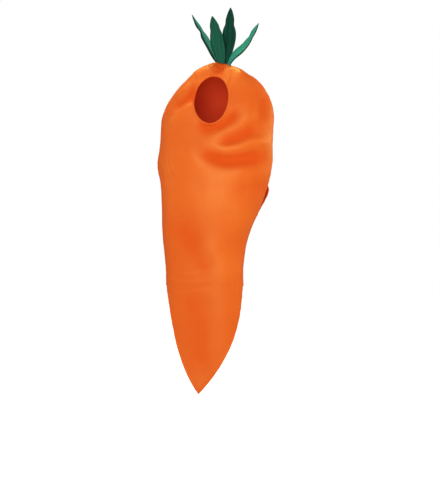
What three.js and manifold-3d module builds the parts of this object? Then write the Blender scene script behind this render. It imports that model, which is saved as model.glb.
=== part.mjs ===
// A carrot costume in the shape that it takes when it is worn.
// A front panel and a back panel of foam-backed cloth are sewn together down both sides. They make a
// domed hood with a face opening, a wide body with two armholes, and two pointed flaps, the front one
// longer.
// Leaves of the same kind of cloth stand in the seam at the crown.
// Millimetres, +Z up, the face opening looks along -Y, and the origin is inside the crown, where the
// top of the wearer's head carries the costume.

import * as THREE from 'three';
import { mergeVertices } from 'three/addons/utils/BufferGeometryUtils.js';
import Module from 'manifold-3d';

const wasm = await Module();
wasm.setup();

const { smoothstep } = THREE.MathUtils;

// Cloth
const CLOTH = 6; // thickness of the foam-backed cloth
const SEAM_GAP = 0.3; // clear space where two sewn pieces meet
const ORANGE = 0xec6620;
const ORANGE_ROUGHNESS = 0.6;
const GREEN = 0x1f5c46;
const GREEN_ROUGHNESS = 0.7;

// Body, measured down from the top of the crown
const BODY_LENGTH = 1400; // crown to the points of the flaps
const CROWN_HEIGHT = 262; // the dome of the hood reaches its full width here
const CROWN_ROUNDNESS = 0.68; // the lower, the blunter the dome
const CROWN_LEAN = 20; // the top of the dome lies this far to the right of the leaves
const CROWN_LEAN_END = 90;
const SHOULDER_HALF_WIDTH = 243;
const HIP_HALF_WIDTH = 168;
const TAPER_TOP = 400; // the sides draw in between these two levels
const TAPER_BOTTOM = 900;
const CHEST_DEPTH = 150; // from the side seams forward
const BACK_DEPTH = 140; // from the side seams backward
const LEG_DEPTH = 108; // either way, where the cloth lies along the legs
const DEPTH_TOP = 450;
const DEPTH_BOTTOM = 1000;
const CHEST_SWAY = 25; // the chest stands this far to one side of the head
const CHEST_SWAY_END = 350;
const HIP_SWAY = 52; // and the hips this much further
const HIP_SWAY_START = 450;
const HIP_SWAY_END = 800;

// Flaps below the side seams
const SEAM_END = 950;
// a flap's edges start at a share of the hips' half width from its middle
const FRONT_FLAP = { length: BODY_LENGTH - SEAM_END, start: 0.97 };
const BACK_FLAP = { length: 335, start: 0.83 };
const FLAP_SLOPE = 0.3; // the share that is lost evenly on the way down
const FLAP_POINT = 3; // the rest is lost by this power, mostly near the point
const FLAP_LEAN = 17; // a flap's middle lies up to this far to the left of the body's
const FLAP_LEAN_START = 0.1; // the part of the lean's rise that is above the flap
const FLAP_STEPS = 12;

// Face opening
const FACE_LEVEL = 169;
const FACE_OFFSET = -4; // the opening's middle from the body's
const FACE_HALF_WIDTH = 73;
const FACE_HALF_HEIGHT = 100;

// Armholes
const ARM_LEVEL = 520;
const ARM_HALF_HEIGHT = 125;
const ARM_HALF_WIDTH = 40;
const ARM_BACK = 32; // the middle of the armhole lies behind the side seam
const ARM_FLARES = [
  // where the arms lift the armholes' edges, the cloth stands out this far
  { turn: Math.PI, size: 17, level: 440, reach: 68 },
  { turn: -0.5, size: 28, level: 575, reach: 60 },
];
const ARM_FLARE_SPREAD = 20; // the higher, the closer to that turn the flare stays

// Fineness of the solids
const AROUND = 40;
const ROWS = 36;
const ROW_SPREAD = 1.6; // rows lie closer together towards the crown
const BELOW = 60; // the uncut form runs on this far below the points of the flaps
const REACH = 600; // further out than any part of the body
const OVAL_SIDES = 36;
const WELD = 1e-3; // corners closer than this are one

// Leaves: where each one's root, middle and tip are, in X, Y and height above the crown, and the way
// across it at the root and at the tip
const LEAF_CLOTH = 4;
const LEAF_STEPS = 14;
const LEAF_STRIPS = 4;
const LEAF_ROOT_DEPTH = 20; // how far a blade is drawn down before the crown cuts it off
const LEAF_TIP_WIDTH = 3;
const LEAF_ROOT_SHARE = 0.14; // the part of the lance shape that is gathered away at the root
const LEAF_FULLNESS = 0.7;
const LEAVES = [
  {
    name: 'leaf_left',
    spine: [[-17, 19, 0], [-70, 16, 98], [-133, 6, 204]],
    across: [[0.22, 1, 0.12], [0.1, 1, 0.05]],
    width: 50,
    fold: 0.16,
    waist: 0.4,
  },
  {
    name: 'leaf_front',
    spine: [[-2, -10, 0], [-20, -18, 100], [-39, -16, 192]],
    across: [[1, 0.1, 0], [1, 0.1, 0]],
    width: 57,
    fold: 0.14,
    waist: 0.12,
  },
  {
    name: 'leaf_back',
    spine: [[14, 6, 0], [28, 11, 118], [36, 5, 228]],
    across: [[1, 0.1, 0], [1, 0.1, 0]],
    width: 58,
    fold: 0.14,
    waist: 0.2,
  },
  {
    name: 'leaf_right',
    spine: [[32, -13, 0], [111, -15, 68], [161, -10, 155]],
    across: [[-0.45, 1, 0.55], [-0.4, 1, 0.4]],
    width: 50,
    fold: 0.16,
    waist: 0.2,
  },
];
const LEAF_WAIST_AT = 0.68;
const LEAF_WAIST_REACH = 0.075;

// A level below the crown as a height in the part's frame
const heightAt = (level) => CLOTH - level;

// The body's cross-section at a level: where its middle is and how far it reaches each way
function sectionAt(level) {
  const rise = 1 - Math.min(level, CROWN_HEIGHT) / CROWN_HEIGHT;
  const dome = (1 - rise * rise) ** CROWN_ROUNDNESS;
  const shoulders = 1 - smoothstep(level, TAPER_TOP, TAPER_BOTTOM);
  const torso = 1 - smoothstep(level, DEPTH_TOP, DEPTH_BOTTOM);
  const sway =
    CROWN_LEAN * (1 - smoothstep(level, 0, CROWN_LEAN_END)) +
    CHEST_SWAY * smoothstep(level, 0, CHEST_SWAY_END) +
    HIP_SWAY * smoothstep(level, HIP_SWAY_START, HIP_SWAY_END);
  return {
    middle: -sway,
    halfWidth: dome * (HIP_HALF_WIDTH + (SHOULDER_HALF_WIDTH - HIP_HALF_WIDTH) * shoulders),
    front: dome * (LEG_DEPTH + (CHEST_DEPTH - LEG_DEPTH) * torso),
    back: dome * (LEG_DEPTH + (BACK_DEPTH - LEG_DEPTH) * torso),
  };
}

// How far the cloth stands out beside an armhole
function armFlare(turn, level) {
  let out = 0;
  for (const flare of ARM_FLARES) {
    const nearEdge = Math.max(0, Math.cos(turn - flare.turn)) ** ARM_FLARE_SPREAD;
    const nearArm = Math.exp(-(((level - flare.level) / flare.reach) ** 2));
    out += flare.size * nearEdge * nearArm;
  }
  return out;
}

// A point of the body's outside: turn 0 is the left side seam and a quarter turn is the middle front
function bodyPoint(turn, level) {
  const section = sectionAt(level);
  const depth = Math.sin(turn) > 0 ? section.front : section.back;
  const outward = section.halfWidth + armFlare(turn, level);
  return new THREE.Vector3(
    section.middle + outward * Math.cos(turn),
    -depth * Math.sin(turn),
    heightAt(level),
  );
}

// Leaves only the positions of a geometry, with shared corners merged
function weld(geometry) {
  geometry.deleteAttribute('normal');
  geometry.deleteAttribute('uv');
  return mergeVertices(geometry, WELD);
}

function solidFrom(geometry) {
  const welded = weld(geometry.clone());
  return new wasm.Manifold(
    new wasm.Mesh({
      numProp: 3,
      vertProperties: new Float32Array(welded.attributes.position.array),
      triVerts: new Uint32Array(welded.index.array),
    }),
  );
}

function geometryFrom(solid) {
  const { vertProperties, triVerts } = solid.getMesh();
  const geometry = new THREE.BufferGeometry();
  geometry.setAttribute('position', new THREE.BufferAttribute(vertProperties, 3));
  geometry.setIndex(new THREE.BufferAttribute(triVerts, 1));
  geometry.computeVertexNormals();
  return geometry;
}

// The whole body as a closed form: a sphere whose rings are moved onto the cross-sections
function bodyForm() {
  const form = new THREE.SphereGeometry(1, AROUND, ROWS);
  const position = form.attributes.position;
  const columns = AROUND + 1;
  const lowest = BODY_LENGTH + BELOW;
  for (let i = 0; i < position.count; i += 1) {
    const row = Math.floor(i / columns);
    const column = i % columns;
    const turn = (-2 * Math.PI * (column % AROUND)) / AROUND;
    const level = lowest * (Math.min(row, ROWS - 1) / (ROWS - 1)) ** ROW_SPREAD;
    const point = bodyPoint(turn, level);
    if (row === ROWS) point.set(sectionAt(lowest).middle, 0, heightAt(lowest));
    position.setXYZ(i, point.x, point.y, point.z);
  }
  return weld(form);
}

// The form grown outwards by a distance, or shrunk where it is negative
function offsetForm(form, distance) {
  const grown = form.clone();
  grown.computeVertexNormals();
  const position = grown.attributes.position;
  const normal = grown.attributes.normal;
  const point = new THREE.Vector3();
  const outward = new THREE.Vector3();
  for (let i = 0; i < position.count; i += 1) {
    outward.fromBufferAttribute(normal, i);
    point.fromBufferAttribute(position, i).addScaledVector(outward, distance);
    position.setXYZ(i, point.x, point.y, point.z);
  }
  return grown;
}

// The edges of a flap, from the end of the side seams down to its point
function flapEdge({ length, start }) {
  const edge = [];
  for (let step = 0; step <= FLAP_STEPS; step += 1) {
    const down = step / FLAP_STEPS;
    const level = SEAM_END + length * down;
    const share = start - FLAP_SLOPE * down - (start - FLAP_SLOPE) * down ** FLAP_POINT;
    const lean = FLAP_LEAN * Math.sin(Math.PI * (FLAP_LEAN_START + (1 - FLAP_LEAN_START) * down));
    edge.push({
      middle: sectionAt(level).middle + lean,
      half: HIP_HALF_WIDTH * share,
      z: heightAt(level),
    });
  }
  return edge;
}

// The outline of a panel seen from the front, drawn through the whole depth of its side of the seams
function panelBlock(flap, isFront) {
  const edge = flapEdge(flap);
  const outline = new THREE.Shape();
  outline.moveTo(-REACH, REACH);
  outline.lineTo(-REACH, edge[0].z);
  for (const { middle, half, z } of edge) outline.lineTo(middle - half, z);
  for (const { middle, half, z } of edge.slice(0, -1).reverse()) outline.lineTo(middle + half, z);
  outline.lineTo(REACH, edge[0].z);
  outline.lineTo(REACH, REACH);
  const block = new THREE.ExtrudeGeometry(outline, { depth: REACH, bevelEnabled: false });
  block.rotateX(Math.PI / 2);
  block.translate(0, isFront ? -SEAM_GAP / 2 : REACH + SEAM_GAP / 2, 0);
  return solidFrom(block);
}

// The oval that the face opening takes out of the front panel
function faceCutter() {
  const oval = new THREE.CylinderGeometry(1, 1, REACH, OVAL_SIDES);
  oval.scale(FACE_HALF_WIDTH, 1, FACE_HALF_HEIGHT);
  oval.translate(sectionAt(FACE_LEVEL).middle + FACE_OFFSET, -REACH / 2, heightAt(FACE_LEVEL));
  return solidFrom(oval);
}

// The oval that both armholes take out of the panels
function armCutter() {
  const oval = new THREE.CylinderGeometry(1, 1, 2 * REACH, OVAL_SIDES);
  oval.rotateZ(Math.PI / 2);
  oval.scale(1, ARM_HALF_WIDTH, ARM_HALF_HEIGHT);
  oval.translate(0, ARM_BACK, heightAt(ARM_LEVEL));
  return solidFrom(oval);
}

// A leaf's width along its length, as a share of its widest: a lance shape drawn in at its waist
function leafOutline(along, waist) {
  const lance = Math.sin(Math.PI * (LEAF_ROOT_SHARE + (1 - LEAF_ROOT_SHARE) * along)) ** LEAF_FULLNESS;
  const nearWaist = Math.exp(-(((along - LEAF_WAIST_AT) / LEAF_WAIST_REACH) ** 2));
  return lance * (1 - waist * nearWaist);
}

// A leaf: a flat block bent along a curve, shaped to its outline and folded along its middle
function leafBlade({ spine, across, width, fold, waist }) {
  const crown = heightAt(0);
  const curve = new THREE.CatmullRomCurve3(
    spine.map(([x, y, z]) => new THREE.Vector3(x, y, z + crown)),
  );
  const [acrossRoot, acrossTip] = across.map((way) => new THREE.Vector3(...way));
  const blade = new THREE.BoxGeometry(1, 1, 1, LEAF_STRIPS, 1, LEAF_STEPS);
  const position = blade.attributes.position;
  const side = new THREE.Vector3();
  const face = new THREE.Vector3();
  for (let i = 0; i < position.count; i += 1) {
    const along = position.getZ(i) + 0.5;
    const tangent = curve.getTangent(along);
    side.lerpVectors(acrossRoot, acrossTip, along);
    side.addScaledVector(tangent, -tangent.dot(side)).normalize();
    face.crossVectors(tangent, side);
    const breadth = Math.max(LEAF_TIP_WIDTH, width * leafOutline(along, waist));
    const sideways = position.getX(i) * breadth;
    const proud = position.getY(i) * LEAF_CLOTH + Math.abs(sideways) * fold;
    const point = curve.getPoint(along).addScaledVector(side, sideways).addScaledVector(face, proud);
    if (along === 0) point.z -= LEAF_ROOT_DEPTH;
    position.setXYZ(i, point.x, point.y, point.z);
  }
  return solidFrom(blade);
}

function clothMesh(name, solid, color, roughness) {
  const material = new THREE.MeshStandardMaterial({ color, roughness, metalness: 0 });
  const mesh = new THREE.Mesh(geometryFrom(solid), material);
  mesh.name = name;
  return mesh;
}

const costume = new THREE.Group();
costume.name = 'carrot_costume';

const form = bodyForm();
const shell = solidFrom(form).subtract(solidFrom(offsetForm(form, -CLOTH)));
const open = shell.subtract(armCutter());
const front = open.intersect(panelBlock(FRONT_FLAP, true)).subtract(faceCutter());
const back = open.intersect(panelBlock(BACK_FLAP, false));
costume.add(clothMesh('body_front', front, ORANGE, ORANGE_ROUGHNESS));
costume.add(clothMesh('body_back', back, ORANGE, ORANGE_ROUGHNESS));

const clearance = solidFrom(offsetForm(form, SEAM_GAP));
for (const leaf of LEAVES) {
  const blade = leafBlade(leaf).subtract(clearance);
  costume.add(clothMesh(leaf.name, blade, GREEN, GREEN_ROUGHNESS));
}

export default costume;
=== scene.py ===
"""The looks of a carrot costume: two padded panels of orange cloth, four green leaves and their stitching.

Shapes are worked out in millimetres in the part's own frame, and become metres when a mesh is made.
"""

import math
from collections import namedtuple

import bpy
import numpy as np
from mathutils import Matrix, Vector, kdtree, noise
from mathutils.geometry import delaunay_2d_cdt


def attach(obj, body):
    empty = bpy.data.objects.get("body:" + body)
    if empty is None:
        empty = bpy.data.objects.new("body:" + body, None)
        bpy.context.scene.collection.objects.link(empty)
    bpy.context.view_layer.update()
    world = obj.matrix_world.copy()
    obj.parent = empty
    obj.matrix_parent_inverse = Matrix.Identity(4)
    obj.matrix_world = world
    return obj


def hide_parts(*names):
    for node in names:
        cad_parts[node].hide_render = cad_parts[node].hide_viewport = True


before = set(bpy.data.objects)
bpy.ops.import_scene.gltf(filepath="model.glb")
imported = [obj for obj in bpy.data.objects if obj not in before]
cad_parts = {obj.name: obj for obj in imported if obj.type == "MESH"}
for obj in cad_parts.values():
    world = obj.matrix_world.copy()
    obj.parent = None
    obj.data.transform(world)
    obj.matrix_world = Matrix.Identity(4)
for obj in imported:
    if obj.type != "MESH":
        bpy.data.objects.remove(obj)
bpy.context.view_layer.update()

MM = 0.001

# Camera, at the photograph's viewing angle
PIXEL = 4.25  # millimetres of the costume in one pixel
IMAGE_HEIGHT = 480
IMAGE_MIDDLE = (220.0, 240.0)
CROWN_PIXEL = (222.0, 62.5)
CAMERA_DISTANCE = 5000.0
CAMERA_TURN = math.radians(13.5)
CAMERA_RISE = math.radians(1.5)
SENSOR = 36.0

# Floor, below the point of the front flap
FLOOR_LEVEL = 1690.0
FLOOR_RADIUS = 9000.0
FLOOR_SIDES = 128
FLOOR_GREY = (0.6, 0.6, 0.6)
FLOOR_ROUGHNESS = 0.9
FLOOR_GLOW = 1.0  # keeps the floor as pale as the studio behind it
WHITE = (1.0, 1.0, 1.0)

# Body, as the solids have it, with levels measured down from the top of the crown
CLOTH = 6.0
SEAM_GAP = 0.3
BODY_LENGTH = 1400.0
CROWN_HEIGHT = 262.0
CROWN_ROUNDNESS = 0.68
CROWN_LEAN = 20.0
CROWN_LEAN_END = 90.0
SHOULDER_HALF_WIDTH = 243.0
HIP_HALF_WIDTH = 168.0
TAPER_TOP = 400.0
TAPER_BOTTOM = 900.0
CHEST_DEPTH = 150.0
BACK_DEPTH = 140.0
LEG_DEPTH = 108.0
DEPTH_TOP = 450.0
DEPTH_BOTTOM = 1000.0
CHEST_SWAY = 25.0
CHEST_SWAY_END = 350.0
HIP_SWAY = 52.0
HIP_SWAY_START = 450.0
HIP_SWAY_END = 800.0

# Sides of the body: the way each panel's depth points along Y
FRONT = -1
BACK = 1

# Flaps below the side seams
SEAM_END = 950.0
FLAP_LENGTHS = {FRONT: BODY_LENGTH - SEAM_END, BACK: 335.0}
FLAP_STARTS = {FRONT: 0.97, BACK: 0.83}
FLAP_SLOPE = 0.3
FLAP_POINT = 3
FLAP_LEAN = 17.0
FLAP_LEAN_START = 0.1

# Face opening and armholes
FACE_LEVEL = 169.0
FACE_OFFSET = -4.0
FACE_HALF_WIDTH = 73.0
FACE_HALF_HEIGHT = 100.0
ARM_LEVEL = 520.0
ARM_HALF_HEIGHT = 125.0
ARM_HALF_WIDTH = 40.0
ARM_BACK = 32.0
ArmFlare = namedtuple("ArmFlare", "turn size level reach")
ARM_FLARES = (
    ArmFlare(turn=math.pi, size=17.0, level=440.0, reach=68.0),
    ArmFlare(turn=-0.5, size=28.0, level=575.0, reach=60.0),
    ArmFlare(turn=-0.56, size=14.0, level=540.0, reach=32.0),  # slack that the solids don't have
)
ARM_FLARE_SPREAD = 20

# Fineness of the panels, and the rows that follow their edges
STEP = 5.0
EDGE_STEP = 4.0
EDGE_ROWS = (0.5, 1.5, 3.0, 5.5, 8.2, 9.6, 11.0, 13.5)
STITCH_ROW = 9.6
ROW_KEEP = 0.93  # a row loses its points that are nearer to an edge than this share of its offset
GRID_GAP = 0.55  # steps from the last row to the even grid inside
ON_EDGE = 0.001
NO_POINT = -1
HEM_SWELL = 0.7  # the turned-in cloth makes a hem this much thicker on each face
HEM_WIDTH = 12.0
HEM_BLEND = 2.0
STITCH_GROOVE = 1.1
GROOVE_WIDTH = 1.5


def smoothstep(value, low, high):
    share = np.clip((value - low) / (high - low), 0.0, 1.0)
    return share * share * (3.0 - 2.0 * share)


def bell(distance, reach):
    return np.exp(-((distance / reach) ** 2))


# The body's form
def section(side, level):
    """The middle, half width and depth of one side of the body at a level."""
    rise = 1.0 - np.minimum(level, CROWN_HEIGHT) / CROWN_HEIGHT
    dome = (1.0 - rise * rise) ** CROWN_ROUNDNESS
    shoulders = 1.0 - smoothstep(level, TAPER_TOP, TAPER_BOTTOM)
    torso = 1.0 - smoothstep(level, DEPTH_TOP, DEPTH_BOTTOM)
    sway = CROWN_LEAN * (1.0 - smoothstep(level, 0.0, CROWN_LEAN_END))
    sway = sway + CHEST_SWAY * smoothstep(level, 0.0, CHEST_SWAY_END)
    sway = sway + HIP_SWAY * smoothstep(level, HIP_SWAY_START, HIP_SWAY_END)
    full_depth = CHEST_DEPTH if side == FRONT else BACK_DEPTH
    half_width = dome * (HIP_HALF_WIDTH + (SHOULDER_HALF_WIDTH - HIP_HALF_WIDTH) * shoulders)
    depth = dome * (LEG_DEPTH + (full_depth - LEG_DEPTH) * torso)
    return -sway, half_width, depth


def arm_flare(side, angle, level):
    """How far the cloth stands out beside an armhole."""
    turn = -side * (math.pi / 2 - angle)
    out = 0.0
    for flare in ARM_FLARES:
        near_edge = np.maximum(0.0, np.cos(turn - flare.turn)) ** ARM_FLARE_SPREAD
        out = out + flare.size * near_edge * bell(level - flare.level, flare.reach)
    return out


# The panels laid flat: across is the length round the body from the panel's middle, and down is the
# length from the crown along that middle
ARC_NODES = 12
GAUSS_NODES, GAUSS_WEIGHTS = np.polynomial.legendre.leggauss(ARC_NODES)
TABLE_ROWS = 4000
TABLE_MARGIN = 40.0
TABLE_LEVELS = (BODY_LENGTH + TABLE_MARGIN) * np.linspace(0.0, 1.0, TABLE_ROWS) ** 2
TOP_LEVEL = 1e-4  # the highest level at which the body has a width
FIRST_ANGLE = 1.4  # the widest first guess at an angle
ANGLE_ROUNDS = 9


def down_table(side):
    _, _, depth = section(side, TABLE_LEVELS)
    steps = np.hypot(np.diff(depth), np.diff(TABLE_LEVELS))
    return np.concatenate([[0.0], np.cumsum(steps)])


DOWN_TABLES = {side: down_table(side) for side in (FRONT, BACK)}


def arc_length(angle, half_width, depth):
    total = 0.0
    for node, weight in zip(GAUSS_NODES, GAUSS_WEIGHTS):
        part = angle * (node + 1.0) / 2.0
        total = total + weight * np.hypot(half_width * np.cos(part), depth * np.sin(part))
    return total * angle / 2.0


def angle_at(arc, half_width, depth):
    angle = np.clip(2.0 * arc / (half_width + depth), -FIRST_ANGLE, FIRST_ANGLE)
    for _ in range(ANGLE_ROUNDS):
        slope = np.hypot(half_width * np.cos(angle), depth * np.sin(angle))
        angle = angle - (arc_length(angle, half_width, depth) - arc) / slope
    return np.clip(angle, -math.pi / 2, math.pi / 2)


def flat_from_angle(side, angle, level):
    _, half_width, depth = section(side, level)
    down = np.interp(level, TABLE_LEVELS, DOWN_TABLES[side])
    return np.stack([arc_length(angle, half_width, depth), down], axis=-1)


def place(side, flat):
    """Points of the body's outside for points of the flat panel, with their levels."""
    level = np.interp(flat[:, 1], DOWN_TABLES[side], TABLE_LEVELS)
    middle, half_width, depth = section(side, np.maximum(level, TOP_LEVEL))
    angle = angle_at(flat[:, 0], half_width, depth)
    x = middle + (half_width + arm_flare(side, angle, level)) * np.sin(angle)
    y = side * (depth * np.cos(angle) + SEAM_GAP / 2)
    return np.stack([x, y, CLOTH - level], axis=-1), level


# Outlines of the panels
PATH_POINTS = 120
SEAM_POINTS = 300
FACE_POINTS = 400
SHORTEST_PATH = 0.5
Edge = namedtuple("Edge", "points hemmed")


def resample(points, step):
    lengths = np.concatenate([[0.0], np.cumsum(np.linalg.norm(np.diff(points, axis=0), axis=1))])
    count = max(2, int(math.ceil(lengths[-1] / step)) + 1)
    places = np.linspace(0.0, lengths[-1], count)
    return np.stack([np.interp(places, lengths, points[:, k]) for k in (0, 1)], axis=-1)


def armhole_path(side, hand):
    """The armhole's edge on one panel, from its upper end on the side seam to its lower one."""
    meet = math.acos(-ARM_BACK / ARM_HALF_WIDTH)
    far = 2.0 * math.pi - meet if side == FRONT else -meet
    turns = np.linspace(meet, far, PATH_POINTS)
    back = ARM_BACK + ARM_HALF_WIDTH * np.cos(turns)
    level = ARM_LEVEL - ARM_HALF_HEIGHT * np.sin(turns)
    _, _, depth = section(side, level)
    angle = np.arccos(np.clip(side * back / depth, 0.0, 1.0))
    return flat_from_angle(side, hand * angle, level)


def flap_path(side, hand):
    """A flap's edge from the end of the side seam to the flap's point."""
    down = np.linspace(0.0, 1.0, PATH_POINTS)
    level = SEAM_END + FLAP_LENGTHS[side] * down
    start = FLAP_STARTS[side]
    share = start - FLAP_SLOPE * down - (start - FLAP_SLOPE) * down**FLAP_POINT
    lean = FLAP_LEAN * np.sin(math.pi * (FLAP_LEAN_START + (1.0 - FLAP_LEAN_START) * down))
    _, half_width, _ = section(side, level)
    reach = (lean + hand * HIP_HALF_WIDTH * share) / half_width
    return flat_from_angle(side, np.arcsin(np.clip(reach, -1.0, 1.0)), level)


def seam_path(side, hand, top, bottom):
    level = top + (bottom - top) * np.linspace(0.0, 1.0, SEAM_POINTS) ** 2
    return flat_from_angle(side, np.full_like(level, hand * math.pi / 2), level)


def side_edge(side, hand):
    """One side of a panel's outline from the crown to the flap's point, with where it is hemmed."""
    arm = armhole_path(side, hand)
    flap = flap_path(side, hand)
    arm_rise = ARM_HALF_HEIGHT * math.sin(math.acos(-ARM_BACK / ARM_HALF_WIDTH))
    upper = seam_path(side, hand, 0.0, ARM_LEVEL - arm_rise)
    lower = seam_path(side, hand, ARM_LEVEL + arm_rise, SEAM_END)
    step_in = np.stack([lower[-1], flap[0]])
    points, hemmed = [], []
    for path, has_hem in ((upper, False), (arm, True), (lower, False), (step_in, True), (flap, True)):
        if np.linalg.norm(path[-1] - path[0]) < SHORTEST_PATH:
            continue
        even = resample(path, EDGE_STEP)
        points.append(even[:-1])
        hemmed.append(np.full(len(even) - 1, has_hem))
    points.append(flap[-1:])
    hemmed.append(np.ones(1, bool))
    return Edge(np.concatenate(points), np.concatenate(hemmed))


def panel_outline(side):
    left = side_edge(side, 1)
    right = side_edge(side, -1)
    points = np.concatenate([left.points, right.points[1:-1][::-1]])
    hemmed = np.concatenate([left.hemmed, right.hemmed[1:-1][::-1]])
    return Edge(points, hemmed)


def face_outline():
    turns = np.linspace(0.0, 2.0 * math.pi, FACE_POINTS)
    level = FACE_LEVEL - FACE_HALF_HEIGHT * np.sin(turns)
    face_middle, _, _ = section(FRONT, FACE_LEVEL)
    x = face_middle + FACE_OFFSET + FACE_HALF_WIDTH * np.cos(turns)
    middle, half_width, _ = section(FRONT, level)
    path = flat_from_angle(FRONT, np.arcsin((x - middle) / half_width), level)
    even = resample(path, EDGE_STEP)[:-1]
    return Edge(even, np.ones(len(even), bool))


# Triangles of a panel
EDGE_PARTS = 4
TRIANGULATION = 2  # the kind of result that is asked for
MERGE_DISTANCE = 1e-5
NO_LENGTH = 1e-12
Panel = namedtuple("Panel", "side flat triangles distance hemmed stitch_lines")


def inside(points, loops):
    """Which points lie inside the first loop and outside the others."""
    x, y = points[:, 0], points[:, 1]
    odd = np.zeros(len(points), bool)
    for loop in loops:
        for (ax, ay), (bx, by) in zip(loop, np.roll(loop, -1, axis=0)):
            crosses = (ay > y) != (by > y)
            if ay != by:
                odd ^= crosses & (x < (bx - ax) * (y - ay) / (by - ay) + ax)
    return odd


def inward(loop, is_hole):
    ahead = np.roll(loop, -1, axis=0) - np.roll(loop, 1, axis=0)
    normal = np.stack([-ahead[:, 1], ahead[:, 0]], axis=-1)
    normal /= np.linalg.norm(normal, axis=1)[:, None]
    following = np.roll(loop, -1, axis=0)
    area = np.sum(loop[:, 0] * following[:, 1] - following[:, 0] * loop[:, 1])
    return normal if (area > 0) != is_hole else -normal


class EdgeFinder:
    """Finds how far a flat point is from a panel's edges, and whether the nearest one is hemmed."""

    def __init__(self, edges):
        points, hemmed = [], []
        for edge in edges:
            following = np.roll(edge.points, -1, axis=0)
            for share in np.linspace(0.0, 1.0, EDGE_PARTS, endpoint=False):
                points.append(edge.points + (following - edge.points) * share)
                hemmed.append(edge.hemmed)
        self.points = np.concatenate(points)
        self.hemmed = np.concatenate(hemmed)
        self.tree = kdtree.KDTree(len(self.points))
        for index, (across, down) in enumerate(self.points):
            self.tree.insert((across, down, 0.0), index)
        self.tree.balance()

    def measure(self, points):
        found = [self.tree.find((across, down, 0.0)) for across, down in points]
        return np.array([f[2] for f in found]), self.hemmed[[f[1] for f in found]]


def split_bridges(flat, triangles, on_edge):
    """Puts a point on each inner side that joins two points of the outline.

    Without it the cloth's outer and inner face would meet along that side.
    """
    uses = {}
    for number in np.flatnonzero(on_edge[triangles].sum(axis=1) > 1):
        for corner in range(3):
            first, second = np.roll(triangles[number], -corner)[:2]
            if on_edge[first] and on_edge[second]:
                uses.setdefault((min(first, second), max(first, second)), []).append((number, corner))
    points, added = list(flat), list(triangles)
    for (first, second), owners in uses.items():
        if len(owners) < 2:
            continue
        points.append((flat[first] + flat[second]) / 2)
        for number, corner in owners:
            before, after, opposite = np.roll(triangles[number], -corner)
            added[number] = (before, len(points) - 1, opposite)
            added.append((len(points) - 1, after, opposite))
    return np.array(points), np.array(added)


def rows_along(edge, is_hole, loops, finder):
    """Rows of points that follow an edge, with their offsets and which of their points are kept."""
    normal = inward(edge.points, is_hole)
    for offset in EDGE_ROWS:
        row = edge.points + normal * offset
        distance, _ = finder.measure(row)
        yield offset, row, (distance > ROW_KEEP * offset) & inside(row, loops)


def even_grid(loops, finder):
    """The points of a panel inside the rows along its edges."""
    low = loops[0].min(axis=0)
    high = loops[0].max(axis=0)
    rows = np.arange(low[1], high[1], STEP * math.sqrt(3) / 2)
    columns = np.arange(low[0], high[0], STEP)
    grid = np.array([(c + STEP / 2 * (k % 2), r) for k, r in enumerate(rows) for c in columns])
    grid = grid[inside(grid, loops)]
    distance, _ = finder.measure(grid)
    return grid[distance > EDGE_ROWS[-1] + GRID_GAP * STEP]


def make_panel(side, edges, finder):
    """The flat panel as triangles, with rows of points along its edges."""
    loops = [edge.points for edge in edges]
    points = [*loops]
    constraints = []
    start = 0
    for loop in loops:
        numbers = np.arange(start, start + len(loop))
        constraints += list(zip(numbers.tolist(), np.roll(numbers, -1).tolist()))
        start += len(loop)
    stitch_numbers = []
    for index, edge in enumerate(edges):
        for offset, row, keep in rows_along(edge, index > 0, loops, finder):
            if offset == STITCH_ROW:
                numbers = np.full(len(row), NO_POINT)
                numbers[keep] = start + np.arange(keep.sum())
                numbers[~edge.hemmed] = NO_POINT
                stitch_numbers.append(numbers)
            points.append(row[keep])
            start += keep.sum()
    points.append(even_grid(loops, finder))
    flat = [Vector(p) for p in np.concatenate(points)]
    found = delaunay_2d_cdt(flat, constraints, [], TRIANGULATION, MERGE_DISTANCE)
    new_number = {old: new for new, olds in enumerate(found[3]) for old in olds}
    flat = np.array([tuple(v) for v in found[0]])
    triangles = np.array([f for f in found[2] if len(f) == 3])
    triangles = triangles[inside(flat[triangles].mean(axis=1), loops)]
    lines = [[new_number.get(n, NO_POINT) for n in numbers] for numbers in stitch_numbers]
    distance, _ = finder.measure(flat)
    flat, triangles = split_bridges(flat, triangles, distance < ON_EDGE)
    distance, hemmed = finder.measure(flat)
    return Panel(side, flat, triangles, distance, hemmed, lines)


def vertex_normals(points, triangles):
    corners = points[triangles]
    faces = np.cross(corners[:, 1] - corners[:, 0], corners[:, 2] - corners[:, 0])
    normals = np.zeros_like(points)
    for k in range(3):
        np.add.at(normals, triangles[:, k], faces)
    return normals / np.maximum(np.linalg.norm(normals, axis=1), NO_LENGTH)[:, None]


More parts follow.
